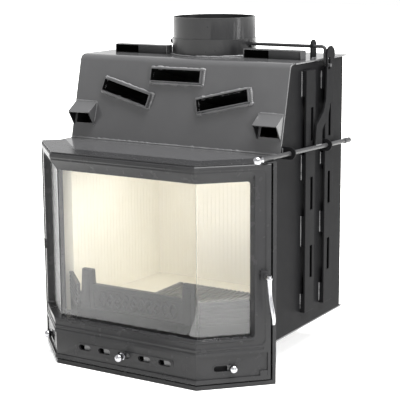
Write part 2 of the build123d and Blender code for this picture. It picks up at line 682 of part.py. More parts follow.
with BuildPart() as door_casting:
    add(folded([(door_low, face), (door_high, face)], door_back, door_reach))
    # raised border, with a sloped step down to the face round the window
    add(folded([(door_low, face), (door_low + edge_slope, face + bead), (door_high - edge_slope, face + bead),
                (door_high, face)], face - 1, door_reach))
    foot_low, foot_high, foot_reach, foot_radius = step_foot
    wider = step_slope * (bead + 1) / bead
    step_head = (foot_low - wider, foot_high + wider, foot_reach + wider, foot_radius + wider)
    add(window((face + bead + 1, *step_head), (face, *step_foot)), mode=Mode.SUBTRACT)
    groove_low, groove_foot, groove_head, groove_high = border_groove
    add(folded([(groove_low, face + bead), (groove_foot, border_groove_n), (groove_head, border_groove_n),
                (groove_high, face + bead)], over, border_groove_reach), mode=Mode.SUBTRACT)
    # moulding under the glass
    add(folded([(glass_low - glass_bead[0], face), (glass_low - glass_bead[1], face + bead),
                (glass_low, face + bead), (glass_low + 1, face)], face - 1, glass_reach + slope_side))
    # recessed apron with a lug in its corners and raised rims round the air slots
    add(folded([(apron_low, over), (apron_high, over)], 0, apron_reach), mode=Mode.SUBTRACT)
    with BuildSketch(side_plane.offset(-1)):
        with Locations(apron_lug[:2]):
            Rectangle(*apron_lug[2:])
    lug = extrude(amount=1 + face + bead)
    mirror(lug, about=Plane.YZ)
    rim_long, rim_wide, rim_side, rim_proud = slot_rim
    with BuildSketch(centre_plane):
        with Locations((0, slot_z)):
            SlotOverall((slot_count - 1) * slot_pitch + centre_slot[0] + rim_long, centre_slot[1] + rim_wide)
    extrude(amount=rim_proud)
    with BuildSketch(side_plane):
        with Locations((side_slot_s, side_slot_z)):
            SlotOverall(side_slot[0] + rim_side, side_slot[1] + rim_side)
    side_rim = extrude(amount=rim_proud)
    mirror(side_rim, about=Plane.YZ)
    # window and the seat of the glass
    add(window((face + bead + 1, glass_low - slope(slope_low), glass_high + slope(slope_top),
                glass_reach + slope(slope_side), slope_corner),
               (glass_front, glass_low, glass_high, glass_reach, glass_corner)), mode=Mode.SUBTRACT)
    add(window((glass_front + 1, glass_low, glass_high, glass_reach, glass_corner),
               (door_back - 1, glass_low, glass_high, glass_reach, glass_corner)), mode=Mode.SUBTRACT)
    seat = glass_overlap + glass_slack
    add(folded([(glass_low - seat, glass_front), (glass_high + seat, glass_front)], door_back - over,
               glass_reach + glass_side_overlap + glass_slack), mode=Mode.SUBTRACT)
    # hollow behind the apron, and the rope's groove
    add(folded([(door_low + apron_wall[1], -apron_skin), (apron_high + apron_wall[2], -apron_skin)],
               door_back - over, apron_reach - apron_wall[0]), mode=Mode.SUBTRACT)
    rope_floor = door_back + rope_depth
    rope_room = folded([(rope_low - rope / 2, rope_floor), (rope_high + rope / 2, rope_floor)],
                       door_back - over, rope_s + rope / 2)
    rope_core = folded([(rope_low + rope / 2, 0), (rope_high - rope / 2, 0)], door_back - over - 1,
                       rope_s - rope / 2)
    add(rope_room - rope_core, mode=Mode.SUBTRACT)
    # air slots
    with BuildSketch(centre_plane.offset(over)):
        with Locations([(x, slot_z) for x in slot_xs]):
            SlotOverall(*centre_slot)
    extrude(amount=-2 * over, mode=Mode.SUBTRACT)
    with BuildSketch(side_plane.offset(over)):
        with Locations((side_slot_s, side_slot_z)):
            SlotOverall(*side_slot)
    side_cut = extrude(amount=-2 * over, mode=Mode.SUBTRACT)
    mirror(side_cut, about=Plane.YZ, mode=Mode.SUBTRACT)
    # handle boss on the right, a blank one on the left
    with BuildSketch(side_plane.offset(face - 1)) as boss_outline:
        with Locations((handle_s + boss_shift, handle_z)):
            Rectangle(*boss_size)
    extrude(amount=boss_out + 1)
    blank_boss = extrude(boss_outline.sketch, amount=blank_out + 1)
    mirror(blank_boss, about=Plane.YZ)
    add(bar(side_plane, (handle_s, handle_z), handle_shaft_radius + play, -far, far), mode=Mode.SUBTRACT)
    # the edge on the handle's side leaves a gap to the rim, and has a notch
    add(upright([side_point(s, n) for s, n in plan_box(door_open_edge, side_panel, frame_back, over)],
                0, frame_height), mode=Mode.SUBTRACT)
    notch_s, notch_low, notch_high = edge_notch
    add(upright([side_point(s, n) for s, n in plan_box(notch_s, side_panel, 0, over)],
                notch_low, notch_high), mode=Mode.SUBTRACT)
    # round edge at the hinge, which clears the frame's rim when the door stands open
    edge = upright([left_point(s, n) for s, n in plan_box(hinge_s, hinge_s + 2 * knuckle, hinge_n, over)],
                   0, frame_height)
    add(edge - bar(pin_plane, (pin_x, pin_y), knuckle, 0, frame_height), mode=Mode.SUBTRACT)
    open_room = plan_box(hinge_s - knuckle, hinge_s + 2 * knuckle, hinge_n + knuckle - open_relief, over)
    add(upright([left_point(s, n) for s, n in open_room], 0, frame_height), mode=Mode.SUBTRACT)
    # room for the frame's lugs, and bores for the pins
    lug_corners = plan_box(hinge_s - knuckle - lug_slack, hinge_s + 2 * knuckle, frame_back, over)
    lug_room = [left_point(s, n) for s, n in lug_corners]
    add(upright(lug_room, 0, lug_low_top + gap), mode=Mode.SUBTRACT)
    add(upright(lug_room, lug_high_low - gap, frame_height), mode=Mode.SUBTRACT)
    for low in (lug_low_top, lug_high_low - pin_reach - lug_slack):
        add(bar(pin_plane, (pin_x, pin_y), hinge_pin_radius + play, low, low + pin_reach + lug_slack),
            mode=Mode.SUBTRACT)
keep(door_casting.part, "door_casting")

# ---- three panes of glass, mitred at the folds
glass_back = glass_front - glass_thick
pane_low, pane_high = glass_low - glass_overlap, glass_high + glass_overlap
pane_gap = 0.2


def pane_half(n):
    """Half the width of the centre pane at n."""
    return fold_half + n * mitre - pane_gap


with BuildPart() as glass_centre:
    corners = [
        (-pane_half(glass_front), front_y - glass_front), (pane_half(glass_front), front_y - glass_front),
        (pane_half(glass_back), front_y - glass_back), (-pane_half(glass_back), front_y - glass_back),
    ]
    add(upright(corners, pane_low, pane_high))
keep(glass_centre.part, "glass_centre")

with BuildPart() as glass_side:
    corners = [side_point(pane_gap - glass_front * mitre, glass_front),
               side_point(glass_reach + glass_side_overlap, glass_front),
               side_point(glass_reach + glass_side_overlap, glass_back),
               side_point(pane_gap - glass_back * mitre, glass_back)]
    add(upright(corners, pane_low, pane_high))
keep_pair(glass_side.part, "glass_side")

# ---- clips that hold the glass, on the back of the door
clip_wide, clip_thick = 20.0, 2.3
clip_on_glass, clip_on_door = 7.0, 9.0
clip_xs, clip_s = (-120.0, 120.0), 70.0
clip_back = glass_back - gap - clip_thick


def section_at(s):
    """Section plane of the side panel at s, with local x along n and local y up."""
    return section_plane.offset(-s)


def centre_section_at(x):
    """Section plane of the centre panel at x."""
    return Plane(origin=(x, front_y, 0), x_dir=(0, -1, 0), z_dir=(-1, 0, 0))


def clip_points(edge, out):
    """Section of a clip; edge is the pane's edge, out points away from the pane's middle."""
    seat_z, glass_z, end_z = edge + out, edge - clip_on_glass * out, edge + clip_on_door * out
    return [(door_back, end_z), (door_back, seat_z), (glass_back - gap, seat_z), (glass_back - gap, glass_z),
            (clip_back, glass_z), (clip_back, end_z)]


with BuildPart() as glass_clips:
    for edge, out in ((pane_high, 1), (pane_low, -1)):
        for x in clip_xs:
            add(prism(centre_section_at(x + clip_wide / 2), clip_points(edge, out), clip_wide))
        side_clip = prism(section_at(clip_s + clip_wide / 2), clip_points(edge, out), clip_wide)
        add(side_clip)
        add(mirror(side_clip, about=Plane.YZ))
keep(glass_clips.part, "glass_clips")

# ---- rope seal in its groove
rope_slack = 0.25
half_rope = rope / 2 - rope_slack
rope_front = door_back + rope_depth - gap
rope_outer = folded([(rope_low - half_rope, rope_front), (rope_high + half_rope, rope_front)],
                    seal_face + gap, rope_s + half_rope)
rope_inner = folded([(rope_low + half_rope, 0), (rope_high - half_rope, 0)],
                    seal_face - over, rope_s - half_rope)
with BuildPart() as rope_seal:
    add(rope_outer)
    add(rope_inner, mode=Mode.SUBTRACT)
keep(rope_seal.part, "rope_seal")

# ---- handle: shaft through the boss, latch tongue inside, lever outside
tongue_out = seal_face - keeper_lip - gap
lever_n = 42.0
keep(bar(side_plane, (handle_s, handle_z), handle_shaft_radius, tongue_out, lever_n), "handle_shaft")
with BuildPart() as latch_tongue:
    with BuildSketch(side_plane.offset(tongue_out)):
        with Locations((handle_s, handle_z)):
            Circle(tongue[0] / 2)
            Rectangle(tongue[0], tongue[1], align=(Align.CENTER, Align.MIN))
    extrude(amount=-tongue[2])
keep(latch_tongue.part, "latch_tongue")

lever_head, lever_neck = 6.5, 8.0
# height over the axis, how far outside it, n and radius
lever_stations = ((7.5, 0.0, 42.0, 4.0), (0.0, 0.0, 42.0, 5.2), (-32.0, 1.0, 45.0, 4.0),
                  (-57.0, 2.8, 50.0, 4.2), (-78.0, 5.5, 53.5, 4.5), (-98.0, 6.0, 55.0, 3.2))
with BuildPart() as handle_lever:
    for up, out, n, radius in lever_stations:
        with BuildSketch(Plane.XY.offset(handle_z + up)):
            with Locations(side_point(handle_s + out, n)):
                Circle(radius)
    loft()
    with Locations((*side_point(handle_s, lever_n), handle_z)):
        Sphere(lever_head)
    add(bar(side_plane, (handle_s, handle_z), lever_head, lever_n - lever_neck, lever_n))
    add(bar(side_plane, (handle_s, handle_z), handle_shaft_radius + slip, 0, lever_n), mode=Mode.SUBTRACT)
keep(handle_lever.part, "handle_lever")

# ---- air sliders behind the apron, their guides and knobs
slider_front = -apron_skin - gap
slider_back = slider_front - slider_thick
centre_slider_half = 140.0
port = (19.0, centre_slot[1] + 2)
port_shift = -14.5
with BuildPart() as air_slider_centre:
    with BuildSketch(centre_plane.offset(slider_front)):
        with Locations((0, slot_z)):
            Rectangle(2 * centre_slider_half, slider_height)
        with Locations([(x + port_shift, slot_z) for x in slot_xs]):
            Rectangle(*port, mode=Mode.SUBTRACT)
    extrude(amount=-slider_thick)
keep(air_slider_centre.part, "air_slider_centre")

side_slider = (72.0, 130.0)
with BuildPart() as air_slider_side:
    with BuildSketch(side_plane.offset(slider_front)):
        with Locations((side_slider[0], side_slot_z)):
            Rectangle(side_slider[1] - side_slider[0], slider_height, align=(Align.MIN, Align.CENTER))
    extrude(amount=-slider_thick)
keep_pair(air_slider_side.part, "air_slider")


centre_knob_plane = Plane(origin=(0, front_y - knob_out, slot_z), z_dir=centre_plane.z_dir)
keep(knob(centre_knob_plane, knob_radius, stem_radius, slider_front - knob_out), "slider_knob_centre")
with BuildPart() as side_knob:
    with Locations((*side_point(side_knob_s, side_knob_out), side_slot_z)):
        Sphere(knob_radius)
    add(bar(side_plane, (side_knob_s, side_slot_z), stem_radius, slider_front, side_knob_out))
keep_pair(side_knob.part, "slider_knob")

guide_leg, guide_sheet = 3.0, 2.0


def guide_points(z, up):
    """Section of a slider guide; up is +1 under the slider and -1 above it."""
    edge_z = z - up * (slider_height / 2 + gap)
    lip = slider_back - gap
    foot_z, tip_z = edge_z - guide_leg * up, edge_z + guide_leg * up
    return [(-apron_skin, edge_z), (-apron_skin, foot_z), (lip - guide_sheet, foot_z),
            (lip - guide_sheet, tip_z), (lip, tip_z), (lip, edge_z)]


guide_half = 155.0
side_guide = (12.0, 148.0)
with BuildPart() as slider_guides:
    for up in (1, -1):
        add(prism(centre_section_at(guide_half), guide_points(slot_z, up), 2 * guide_half))
        strip = prism(section_at(side_guide[1]), guide_points(side_slot_z, up), side_guide[1] - side_guide[0])
        add(strip)
        add(mirror(strip, about=Plane.YZ))
keep(slider_guides.part, "slider_guides")

# =====================================================================
# firebox
# =====================================================================
floor_seat = floor_z + gap
lining_rear_y = rear_y - sheet - gap - lining_thick
lining_lean = (lining_front_x - lining_rear_x) / (lining_rear_y - lining_front_y)


def lining_face(y):
    """X of the right lining's inner face."""
    return lining_front_x - (y - lining_front_y) * lining_lean


side_run = hypot(lining_front_x - lining_rear_x, lining_rear_y - lining_front_y)
lining_height = lining_top - floor_seat
face_dir = ((lining_rear_x - lining_front_x) / side_run, (lining_rear_y - lining_front_y) / side_run)
lining_plane = Plane(
    origin=((lining_front_x + lining_rear_x) / 2, (lining_front_y + lining_rear_y) / 2, 0),
    x_dir=(-face_dir[0], -face_dir[1], 0), z_dir=(-face_dir[1], face_dir[0], 0),
)


def reeded_slab(plane, wide):
    """Upright slab behind the plane, with fine upright grooves in its face."""
    count = int((wide - groove_pitch) / groove_pitch)
    with BuildPart() as slab:
        with BuildSketch(plane):
            with Locations((0, (floor_seat + lining_top) / 2)):
                Rectangle(wide, lining_height)
        extrude(amount=-lining_thick)
        with BuildSketch(plane):
            with Locations((0, (floor_seat + lining_top) / 2)):
                with GridLocations(groove_pitch, 1, count, 1):
                    Rectangle(groove_wide, lining_height + 2)
        extrude(amount=-groove_deep, mode=Mode.SUBTRACT)
    return slab.part


with BuildPart() as lining:
    add(reeded_slab(lining_plane, side_run))
    split(bisect_by=Plane.XZ.offset(gap - lining_rear_y), keep=Keep.TOP)
keep_pair(lining.part, "lining")
back_plane = Plane(origin=(0, lining_rear_y, 0), x_dir=(1, 0, 0), z_dir=(0, -1, 0))
keep(reeded_slab(back_plane, 2 * (wall_x - lining_play)), "lining_back")

# ---- cast sill that follows the folded front; retainer and wings stand on it
sill_deep = 36.0
sill_play = 3.0             # room beside the side linings
sill_back = sill_edge - sill_deep
sill_front_y = fold_line(sill_edge, 0)[2][1]
sill_half = lining_face(lining_front_y + sill_deep) - sill_play
with BuildPart() as front_sill:
    add(folded([(floor_seat, sill_edge), (sill_high, sill_edge)], sill_back, side_panel + sill_deep))
    with Locations((0, 0, sill_high)):
        Box(2 * sill_half, 2 * far, far, mode=Mode.INTERSECT)
keep(front_sill.part, "front_sill")

# ---- fire bricks beside and behind the cast floor
brick_rear_y = lining_rear_y - gap
side_edge = grate_half + gap
brick_fold_x, brick_front_y = fold_line(sill_back - gap, 0)[2]
brick_side_x = lining_face(lining_front_y) - 2 * gap
# the place where the line behind the sill meets the side lining
meet_run = (brick_side_x - brick_fold_x - (brick_front_y - lining_front_y) * lining_lean) / (1 + lining_lean)
brick_corners = [
    (side_edge, brick_front_y), (brick_fold_x, brick_front_y),
    (brick_fold_x + meet_run, brick_front_y + meet_run * tan(radians(fold_angle))),
    (lining_face(brick_rear_y) - 2 * gap, brick_rear_y), (side_edge, brick_rear_y),
]
with BuildPart() as floor_bricks:
    brick = upright(brick_corners, floor_seat, floor_top)
    add(brick)
    add(mirror(brick, about=Plane.YZ))
    add(upright([(-grate_half, grate_rear_y + gap), (grate_half, grate_rear_y + gap),
                 (grate_half, brick_rear_y), (-grate_half, brick_rear_y)], floor_seat, floor_top))
keep(floor_bricks.part, "floor_bricks")

# ---- cast floor: ribbed on top, slotted and hollow over the ash opening
rib_pitch, rib_high, rib_wide = 12.0, 4.0, 6.0
cast_top = floor_top + 1
cast_deck = cast_top - rib_high
cast_long = grate_rear_y - brick_front_y
grate_deck = 10.0           # thickness of the deck over the ash opening
grate_slack = 2.0
with BuildPart() as cast_floor:
    with Locations((0, grate_rear_y, floor_seat)):
        Box(2 * grate_half, cast_long, cast_top - floor_seat, align=(Align.CENTER, Align.MAX, Align.MIN))
    with Locations((0, grate_rear_y, cast_deck)):
        with GridLocations(rib_pitch, 1, int(2 * grate_half / rib_pitch) - 1, 1):
            Box(rib_pitch - rib_wide, 4 * cast_long, 2 * rib_high,
                align=(Align.CENTER, Align.CENTER, Align.MIN), mode=Mode.SUBTRACT)
    with Locations((0, ash_hole_y, floor_seat)):
        Box(ash_hole[0] + grate_slack, ash_hole[1] + grate_slack, cast_deck - grate_deck - floor_seat,
            align=(Align.CENTER, Align.CENTER, Align.MIN), mode=Mode.SUBTRACT)
    with Locations((0, ash_hole_y, cast_deck)):
        with GridLocations(rib_pitch, 1, int(ash_hole[0] / rib_pitch), 1):
            Box(rib_pitch - rib_wide, ash_hole[1] - 4 * grate_slack, 4 * grate_deck, mode=Mode.SUBTRACT)
keep(cast_floor.part, "cast_floor")

# ---- ribbed wings on the sill, parallel to the side panels
wing_start, wing_end = 21.0, side_panel - 54.0
wing_back = sill_edge - 10.0
wing_groove = sill_edge - 3.0
wing_ribs = 5
wing_low, wing_high = sill_high + gap, sill_high + 55.0
wing_pitch = (wing_high - wing_low) / (wing_ribs + 0.5)
wing_section = [(wing_back, wing_low)]
for i in range(wing_ribs):
    z = wing_low + i * wing_pitch
    wing_section += [(sill_edge, z), (sill_edge, z + 0.5 * wing_pitch),
                     (wing_groove, z + 0.6 * wing_pitch), (wing_groove, z + 0.9 * wing_pitch)]
wing_section += [(sill_edge, wing_high - 0.5 * wing_pitch), (sill_edge, wing_high), (wing_back, wing_high)]
keep_pair(prism(section_at(wing_end), wing_section, wing_end - wing_start), "retainer_wing")

# ---- log retainer on the ledge: rail between two tapered posts
post_at, post_foot, post_head = 138.5, (39.0, 16.0), (29.0, 12.0)
retainer_y = sill_front_y + 9
rail_z, post_z = sill_high + 59.0, sill_high + 93.0
rail_web = 9.0
rail_bands = ((13.0, 5.0, 0.0), (12.0, 3.0, 10.0))      # depth, height and distance below the rail's top
foot_band = (13.0, 6.0)
ridge_foot, ridge_head, ridge_proud, ridge_short = 17.0, 11.0, 2.0, 9.0     # raised middle of the posts
retainer_low = sill_high + gap
with BuildPart() as log_retainer:
    with BuildSketch(Plane.XY.offset(retainer_low)):
        with Locations((post_at, retainer_y)):
            Rectangle(*post_foot)
    with BuildSketch(Plane.XY.offset(post_z)):
        with Locations((post_at, retainer_y)):
            Rectangle(*post_head)
    loft(ruled=True)
    with BuildSketch(Plane.XY.offset(retainer_low)):
        with Locations((post_at, retainer_y)):
            Rectangle(ridge_foot, post_foot[1] + 2 * ridge_proud)
    with BuildSketch(Plane.XY.offset(post_z - ridge_short)):
        with Locations((post_at, retainer_y)):
            Rectangle(ridge_head, post_head[1] + 2 * ridge_proud)
    loft(ruled=True)
    mirror(about=Plane.YZ)
    with Locations((0, retainer_y, retainer_low)):
        Box(2 * post_at, rail_web, rail_z - retainer_low, align=(Align.CENTER, Align.CENTER, Align.MIN))
        Box(2 * post_at, *foot_band, align=(Align.CENTER, Align.CENTER, Align.MIN))
    for deep, high, below in rail_bands:
        with Locations((0, retainer_y, rail_z - below)):
            Box(2 * post_at, deep, high, align=(Align.CENTER, Align.CENTER, Align.MAX))
keep(log_retainer.part, "log_retainer")

# ---- baffle over the fire, on top of the linings
baffle_half, baffle_front_y, baffle_thick = body_half - 17.0, -105.0, 20.0
with BuildPart() as baffle:
    with Locations((0, rear_y - sheet - gap, lining_top + gap)):
        Box(2 * baffle_half, rear_y - sheet - gap - baffle_front_y, baffle_thick,
            align=(Align.CENTER, Align.MAX, Align.MIN))
keep(baffle.part, "baffle")

# =====================================================================
# ash box and drawer
# =====================================================================
ash_front_y = front_y - frame_back
runner_at, runner_wide, runner_high = 100.0, 12.0, rim_low - ash_sheet
with BuildPart() as ash_box:
    with Locations((0, ash_front_y, 0)):
        Box(2 * ash_half, ash_rear_y - ash_front_y, body_bottom, align=(Align.CENTER, Align.MIN, Align.MIN))
    with Locations((0, ash_front_y, ash_sheet)):
        Box(2 * (ash_half - ash_sheet), ash_rear_y - ash_front_y - ash_sheet, body_bottom,
            align=(Align.CENTER, Align.MIN, Align.MIN), mode=Mode.SUBTRACT)
    for x in (-runner_at, runner_at):
        with Locations((x, ash_front_y, ash_sheet)):
            Box(runner_wide, ash_rear_y - ash_front_y - ash_sheet, runner_high,
                align=(Align.CENTER, Align.MIN, Align.MIN))
keep(ash_box.part, "ash_box")

drawer_sheet, drawer_slack = 2.0, 3.0
drawer_set_back = 4.0       # how far the drawer's front lies behind the seal face
drawer_low = rim_low + gap
drawer_high = air_high - drawer_sheet
drawer_half = air_half - drawer_slack
drawer_front_y = front_y - seal_face + drawer_set_back
drawer_rear_y = ash_rear_y - ash_sheet - drawer_set_back
drawer_grip = (70.0, 8.0, 4.0)
with BuildPart() as ash_drawer:
    with Locations((0, drawer_front_y, drawer_low)):
        Box(2 * drawer_half, drawer_rear_y - drawer_front_y, drawer_high - drawer_low,
            align=(Align.CENTER, Align.MIN, Align.MIN))
    with Locations((0, drawer_front_y + drawer_sheet, drawer_low + drawer_sheet)):
        Box(2 * (drawer_half - drawer_sheet), drawer_rear_y - drawer_front_y - 2 * drawer_sheet, far,
            align=(Align.CENTER, Align.MIN, Align.MIN), mode=Mode.SUBTRACT)
    with Locations((0, drawer_front_y, (drawer_low + drawer_high) / 2)):
        Box(*drawer_grip, align=(Align.CENTER, Align.MAX, Align.CENTER))
keep(ash_drawer.part, "ash_drawer")
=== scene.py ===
# Fireplace insert: the finishes, welds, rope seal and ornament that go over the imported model.
# Metres, same frame as the model: the front faces -Y, +Z is up, the flue stands over the origin.
import bpy
import bmesh
import json
import math
import numpy as np
from mathutils import Matrix, Vector
from mathutils.bvhtree import BVHTree


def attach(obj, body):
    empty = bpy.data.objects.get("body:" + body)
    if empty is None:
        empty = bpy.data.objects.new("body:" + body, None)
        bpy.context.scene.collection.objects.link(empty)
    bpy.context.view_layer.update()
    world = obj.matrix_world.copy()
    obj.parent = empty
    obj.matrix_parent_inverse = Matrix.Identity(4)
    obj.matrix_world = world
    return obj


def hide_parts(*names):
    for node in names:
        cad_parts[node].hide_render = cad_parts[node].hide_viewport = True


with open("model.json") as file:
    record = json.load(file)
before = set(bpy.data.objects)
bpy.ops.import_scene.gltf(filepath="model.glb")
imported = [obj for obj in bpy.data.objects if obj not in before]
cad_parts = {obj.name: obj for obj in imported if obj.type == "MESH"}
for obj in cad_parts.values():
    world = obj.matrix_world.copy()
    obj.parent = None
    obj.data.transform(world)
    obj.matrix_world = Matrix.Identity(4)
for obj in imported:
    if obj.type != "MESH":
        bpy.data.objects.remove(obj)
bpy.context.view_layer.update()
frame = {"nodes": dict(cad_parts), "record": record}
mm = 0.001

camera = {
    "place": (1.5961, -2.6651, 0.9642),
    "azimuth": 31.61,       # degrees, turned to the object's right
    "down": 11.42,
    "roll": -0.43,
    "lens": 115.28,
    "sees": (0.1, 50),      # nearest and farthest
}


def makeCamera():
    # looks along the azimuth and down, then rolls about that line
    az, down, roll = (math.radians(camera[key]) for key in ("azimuth", "down", "roll"))
    ahead = Vector((-math.sin(az) * math.cos(down), math.cos(az) * math.cos(down), -math.sin(down)))
    right = ahead.cross(Vector((0, 0, 1))).normalized()
    up = right.cross(ahead)
    rolledRight = right * math.cos(roll) + up * math.sin(roll)
    rolledUp = up * math.cos(roll) - right * math.sin(roll)
    data = bpy.data.cameras.new("camera")
    data.lens = camera["lens"]
    data.clip_start, data.clip_end = camera["sees"]
    cam = bpy.data.objects.new("camera", data)
    turn = Matrix((rolledRight, rolledUp, -ahead)).transposed()
    cam.matrix_world = Matrix.Translation(camera["place"]) @ turn.to_4x4()
    bpy.context.scene.collection.objects.link(cam)
    bpy.context.scene.camera = cam


def linear(code):
    # sRGB hex to linear RGBA: a straight line for the darkest tones, a power of 2.4 for the others
    parts = np.array([int(code[i:i + 2], 16) for i in (1, 3, 5)]) / 255
    parts = np.where(parts <= 0.04045, parts / 12.92, ((parts + 0.055) / 1.055) ** 2.4)
    return (*[float(part) for part in parts], 1.0)


def addNode(tree, kind, settings=None, links=None):
    # one shader node: settings go to its properties or sockets, links name what feeds its sockets
    node = tree.nodes.new(kind)
    for key, value in (settings or {}).items():
        if isinstance(key, str) and hasattr(node, key):
            setattr(node, key, value)
        else:
            node.inputs[key].default_value = value
    for key, source in (links or {}).items():
        tree.links.new(source, node.inputs[key])
    return node


def newMaterial(name):
    material = bpy.data.materials.new(name)
    material.use_nodes = True
    tree = material.node_tree
    tree.nodes.clear()
    return material, tree


def finishMaterial(tree, surface):
    addNode(tree, "ShaderNodeOutputMaterial", links={"Surface": surface})


studio = {
    "sky": 0.16,            # light of the sky on matt surfaces
    "floorSize": 30,
    "floorDrop": 0.4 * mm,  # the floor lies this far under the feet
    "floorTone": "#f4f4f2",
    "floorGlow": 0.62,      # share of the floor's white that doesn't take the shadow
    "sunFrom": (0.3, 0.03, 1.0),
    "sunStrength": 8.5,
    "sunSoftness": 50,      # degrees
    "notReflected": "rightFront",
    "lamps": {
        # name: (place, aims at, width, depth, watts)
        "rightFront": ((1.7, -1.6, 0.8), (0.2, -0.3, 0.35), 0.7, 0.9, 24),
        "rightStrip": ((2.4, 0.5, 1.1), (0, 0, 0.7), 0.22, 1.2, 12),
        "fireboxLamp": ((0, -0.15, 0.462), (0, -0.1, 0), 0.3, 0.22, 0.8),
    },
}


def seenByEye(tree):
    # 1 for camera, mirror and see-through rays, 0 for the rays that carry light onto surfaces
    path = addNode(tree, "ShaderNodeLightPath")
    mirror = addNode(tree, "ShaderNodeMath", {"operation": "MAXIMUM"},
                     {0: path.outputs["Is Camera Ray"], 1: path.outputs["Is Glossy Ray"]})
    return addNode(tree, "ShaderNodeMath", {"operation": "MAXIMUM"},
                   {0: mirror.outputs[0], 1: path.outputs["Is Transmission Ray"]}).outputs[0]


def makeLamp(name, place, target, width, depth, watts):
    data = bpy.data.lights.new(name, "AREA")
    data.shape = "RECTANGLE"
    data.size = width
    data.size_y = depth
    data.energy = watts
    lamp = bpy.data.objects.new(name, data)
    lamp.location = place
    lamp.rotation_euler = (Vector(target) - Vector(place)).to_track_quat("-Z", "Y").to_euler()
    lamp.visible_camera = False
    lamp.visible_glossy = name != studio["notReflected"]
    bpy.context.scene.collection.objects.link(lamp)


def makeSun():
    data = bpy.data.lights.new("overhead", "SUN")
    data.energy = studio["sunStrength"]
    data.angle = math.radians(studio["sunSoftness"])
    sun = bpy.data.objects.new("overhead", data)
    sun.rotation_euler = (-Vector(studio["sunFrom"])).to_track_quat("-Z", "Y").to_euler()
    bpy.context.scene.collection.objects.link(sun)


def makeFloor():
    # matt paint that takes the shadow, and a glow that only the eye sees, which keeps it white
    bpy.ops.mesh.primitive_plane_add(size=studio["floorSize"], location=(0, 0, -studio["floorDrop"]))
    floor = bpy.context.object
    floor.name = "floor"
    material, tree = newMaterial("pale floor")
    paint = addNode(tree, "ShaderNodeBsdfDiffuse", {"Color": linear(studio["floorTone"])})
    white = addNode(tree, "ShaderNodeMath", {"operation": "MULTIPLY", 1: studio["floorGlow"]},
                    {0: seenByEye(tree)})
    glow = addNode(tree, "ShaderNodeEmission", {"Color": linear("#ffffff")}, {"Strength": white.outputs[0]})
    both = addNode(tree, "ShaderNodeAddShader", links={0: paint.outputs[0], 1: glow.outputs[0]})
    finishMaterial(tree, both.outputs[0])
    floor.data.materials.append(material)


def makeSky():
    # white to the eye and in mirrors, dim on matt surfaces
    world = bpy.data.worlds.new("studio")
    bpy.context.scene.world = world
    world.use_nodes = True
    tree = world.node_tree
    tree.nodes.clear()
    strength = addNode(tree, "ShaderNodeMapRange", {"To Min": studio["sky"], "To Max": 1.0},
                       {"Value": seenByEye(tree)})
    sky = addNode(tree, "ShaderNodeBackground", {"Color": linear("#ffffff")},
                  {"Strength": strength.outputs["Result"]})
    addNode(tree, "ShaderNodeOutputWorld", links={"Surface": sky.outputs[0]})


cardSteps = 8       # squares along each side of a card
cards = {
    # reflector cards that show only in glossy reflections: four corners, and the brightness at each
    "centreFloor": (((-0.44, -0.60, 0.002), (0.02, -0.60, 0.002), (-0.28, -1.2, 0.002),
                     (-0.86, -1.2, 0.002)), (2.6, 0.0, 0.0, 2.6)),
    "centreStand": (((-0.86, -1.2, 0.002), (-0.28, -1.2, 0.002), (-0.28, -1.2, 0.4),
                     (-0.86, -1.2, 0.4)), (2.6, 0.0, 0.2, 2.2)),
    "rightStand": (((0.74, -0.81, 0.0), (0.94, -0.61, 0.0), (0.94, -0.61, 0.4),
                    (0.74, -0.81, 0.4)), (1.3, 1.3, 3.6, 3.6)),
    "leftFloor": (((-0.564, -0.163, 0.002), (-0.502, -0.085, 0.002), (-0.793, 0.144, 0.002),
                   (-0.855, 0.066, 0.002)), (0.5, 0.5, 1.3, 1.3)),
    "leftStand": (((-0.871, 0.046, 0.0), (-0.777, 0.164, 0.0), (-0.777, 0.164, 0.4),
                   (-0.871, 0.046, 0.4)), (1.3, 1.3, 3.0, 3.0)),
}


def makeCard(name, corners, brightness):
    # a grid between the four corners: each point takes its share of every corner's place and brightness
    line = np.linspace(0, 1, cardSteps + 1)
    u, v = np.meshgrid(line, line, indexing="ij")
    share = np.stack([(1 - u) * (1 - v), u * (1 - v), u * v, (1 - u) * v], -1).reshape(-1, 4)
    number = np.arange((cardSteps + 1) ** 2).reshape(cardSteps + 1, -1)
    quads = np.stack([number[:-1, :-1], number[1:, :-1], number[1:, 1:], number[:-1, 1:]], -1)
    mesh = bpy.data.meshes.new(name)
    mesh.from_pydata((share @ np.array(corners)).tolist(), [], quads.reshape(-1, 4).tolist())
    glow = mesh.attributes.new("brightness", "FLOAT", "POINT")
    glow.data.foreach_set("value", share @ np.array(brightness))
    mesh.materials.append(cardMaterial)
    card = bpy.data.objects.new(name, mesh)
    bpy.context.scene.collection.objects.link(card)
    card.visible_camera = card.visible_diffuse = card.visible_shadow = card.visible_transmission = False


def reflectorCard():
    material, tree = newMaterial("reflector card")
    brightness = addNode(tree, "ShaderNodeAttribute", {"attribute_name": "brightness"})
    glow = addNode(tree, "ShaderNodeEmission", {"Color": linear("#ffffff")},
                   {"Strength": brightness.outputs["Fac"]})
    finishMaterial(tree, glow.outputs[0])
    return material


cardMaterial = reflectorCard()
makeCamera()
makeSky()
for cardName, (cardCorners, cardBrightness) in cards.items():
    makeCard(cardName, cardCorners, cardBrightness)
makeFloor()
makeSun()
for lampName, lampSetting in studio["lamps"].items():
    makeLamp(lampName, *lampSetting)
bpy.context.scene.view_settings.view_transform = "Standard"
print("camera and studio stand")


def objectNoise(tree, sizeMm, detail=3.0, rough=0.55):
    # noise whose blotches are about sizeMm across
    place = addNode(tree, "ShaderNodeTexCoord")
    return addNode(tree, "ShaderNodeTexNoise",
                   {"Scale": 1 / (sizeMm * mm), "Detail": detail, "Roughness": rough},
                   {"Vector": place.outputs["Object"]}).outputs["Fac"]


